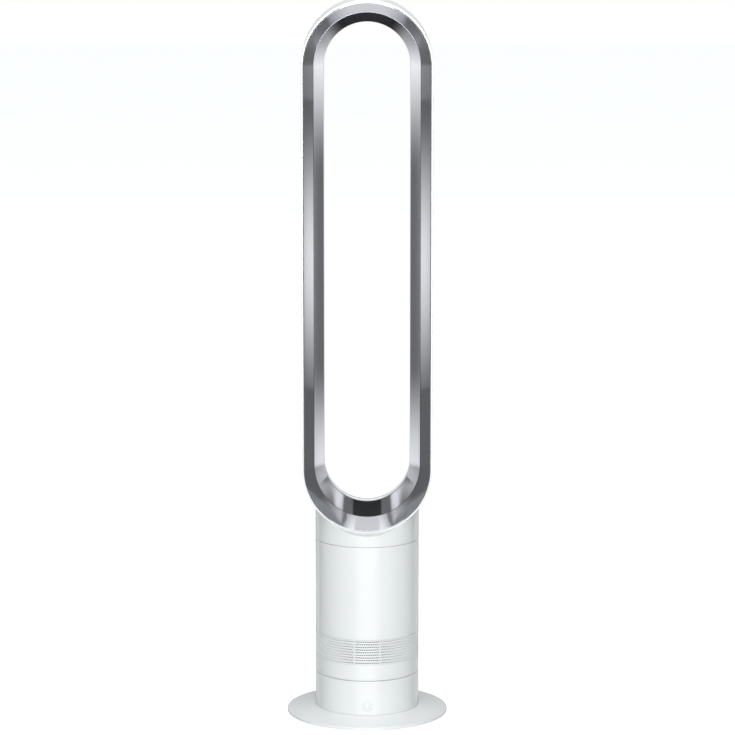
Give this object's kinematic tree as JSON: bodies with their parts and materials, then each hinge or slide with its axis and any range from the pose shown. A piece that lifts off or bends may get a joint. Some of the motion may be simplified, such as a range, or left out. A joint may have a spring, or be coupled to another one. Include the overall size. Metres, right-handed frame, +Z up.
{
  "type": "bladeless tower fan",
  "caption": "Tall bladeless tower fan: a racetrack air loop with a satin silver front stands on a round white body that swivels on its base.",
  "frame": {"origin": "on the floor at the centre of the round foot", "axes": "+Z up along the loop's height, -Y towards the front of the fan"},
  "size_m": [0.226, 0.226, 1.007],
  "materials": {
    "white_shell": "semi-gloss white moulding",
    "satin_silver": "satin metallic silver paint",
    "inner_plastic": "matt grey moulding",
    "dark_plastic": "matt dark glass-filled moulding",
    "acetal": "smooth natural acetal",
    "circuit_board": "green solder resist",
    "steel": "plain steel",
    "lamination": "steel laminations with copper windings",
    "rubber": "matt soft rubber",
    "foam": "open-cell foam",
    "smoked_lens": "smoked translucent lens"
  },
  "bodies": {
    "base": {"foot_disc": "white_shell", "foot_underplate": "inner_plastic", "foot_pad_1": "rubber", "foot_pad_2": "rubber", "foot_pad_3": "rubber", "foot_pad_4": "rubber", "foot_pad_5": "rubber", "lower_drum": "white_shell", "push_switch": "dark_plastic", "switch_board": "circuit_board", "power_board": "circuit_board", "cord_inlet": "rubber", "bearing_ring": "acetal", "retaining_clip": "steel", "swivel_stepper": "steel"},
    "power_button": {"power_button": "white_shell"},
    "swivel_pinion": {"swivel_pinion": "acetal"},
    "impeller_unit": {"impeller": "dark_plastic", "motor_shaft": "steel", "motor_rotor": "steel"},
    "upper_body": {"body_casing": "white_shell", "inlet_band": "white_shell", "loop_outer_shell": "white_shell", "loop_front_bezel": "satin_silver", "loop_inner_ramp": "satin_silver", "turntable": "inner_plastic", "inlet_bell": "inner_plastic", "impeller_housing": "inner_plastic", "motor_bucket_lower": "inner_plastic", "motor_bucket_upper": "inner_plastic", "display_board": "circuit_board", "motor_bearing_lower": "steel", "motor_bearing_upper": "steel", "remote_magnet_1": "steel", "remote_magnet_2": "steel", "motor_stator": "lamination", "lip_seal": "rubber", "neck_gasket": "rubber", "slot_seal_upper": "rubber", "slot_seal_lower": "rubber", "housing_mount_1": "rubber", "housing_mount_2": "rubber", "housing_mount_3": "rubber", "lower_foam": "foam", "motor_foam": "foam", "display_window": "smoked_lens"}
  },
  "joints": [
    {"name": "swivel", "type": "hinge", "parent": "base", "child": "upper_body", "pos_m": [0, 0, 0.0617], "axis": [0, 0, 1], "range_deg": [-35, 35]},
    {"name": "pinion_spin", "type": "hinge", "parent": "base", "child": "swivel_pinion", "pos_m": [0, 0.0405, 0.0585], "axis": [0, 0, 1], "range_deg": [-100.5, 100.5]},
    {"name": "impeller_spin", "type": "hinge", "parent": "upper_body", "child": "impeller_unit", "pos_m": [0, 0, 0.17], "axis": [0, 0, 1], "continuous": true},
    {"name": "button_press", "type": "slide", "parent": "base", "child": "power_button", "axis": [0, 1, 0], "range_m": [0, 0.001], "stiffness_N_per_m": 800}
  ],
  "couplings": [
    {"joint": "pinion_spin", "follows": "swivel", "ratio": -2.8571}
  ]
}
